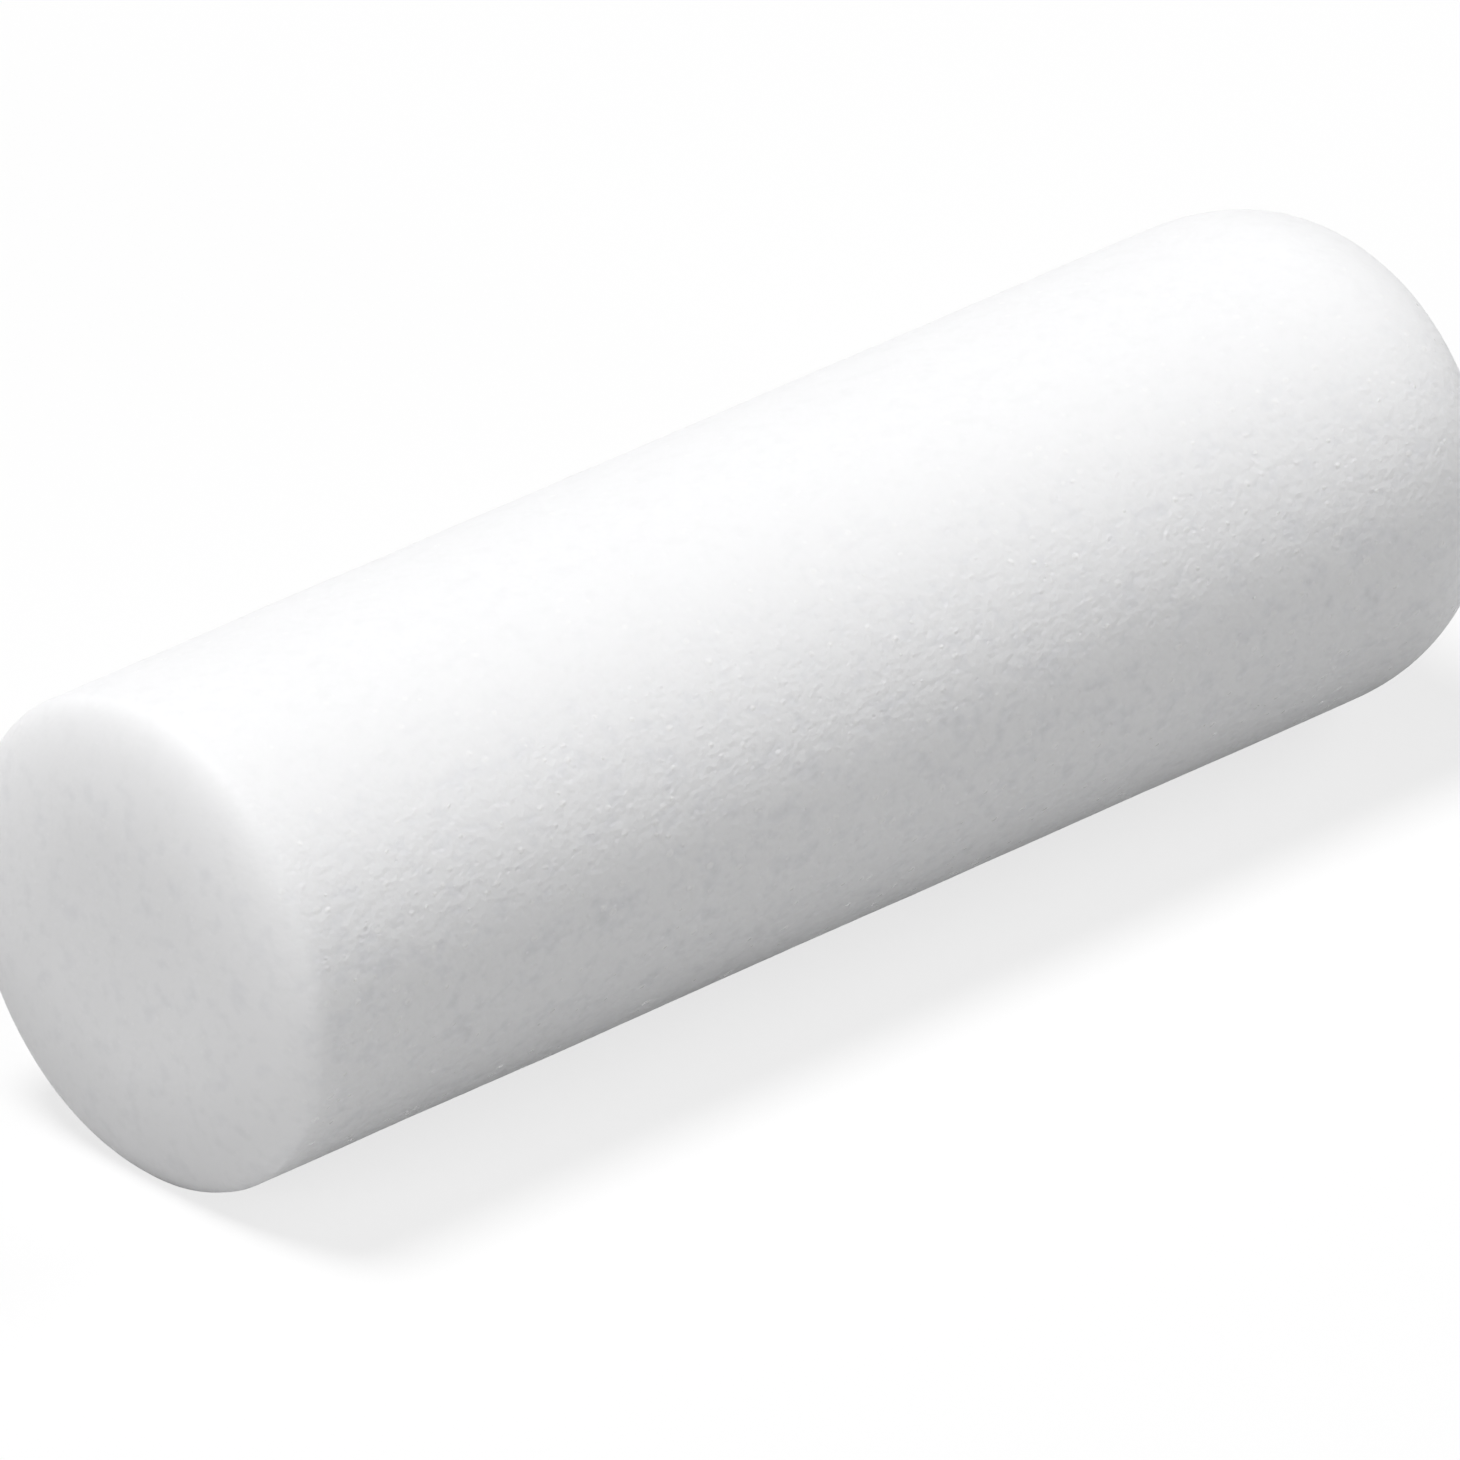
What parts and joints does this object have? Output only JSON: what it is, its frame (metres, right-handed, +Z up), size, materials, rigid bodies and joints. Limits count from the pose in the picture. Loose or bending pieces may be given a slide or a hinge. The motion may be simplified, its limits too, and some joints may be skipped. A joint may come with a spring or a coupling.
{
  "type": "foam massage roller",
  "caption": "Solid round foam cylinder with a nearly flat cut end and a deeply rounded far end, laid under the body to roll out and massage muscles.",
  "frame": {"origin": "on the resting strip, halfway along the roller and under its axis", "axes": "+X along the roller's axis from the cut end to the rounded end, +Z up, +Y across"},
  "size_m": [0.45, 0.14, 0.1395],
  "materials": {
    "white_foam": "matt white closed-cell polyethylene foam with a fine cell grain"
  },
  "bodies": {
    "root": {"roller_body": "white_foam"}
  },
  "joints": []
}
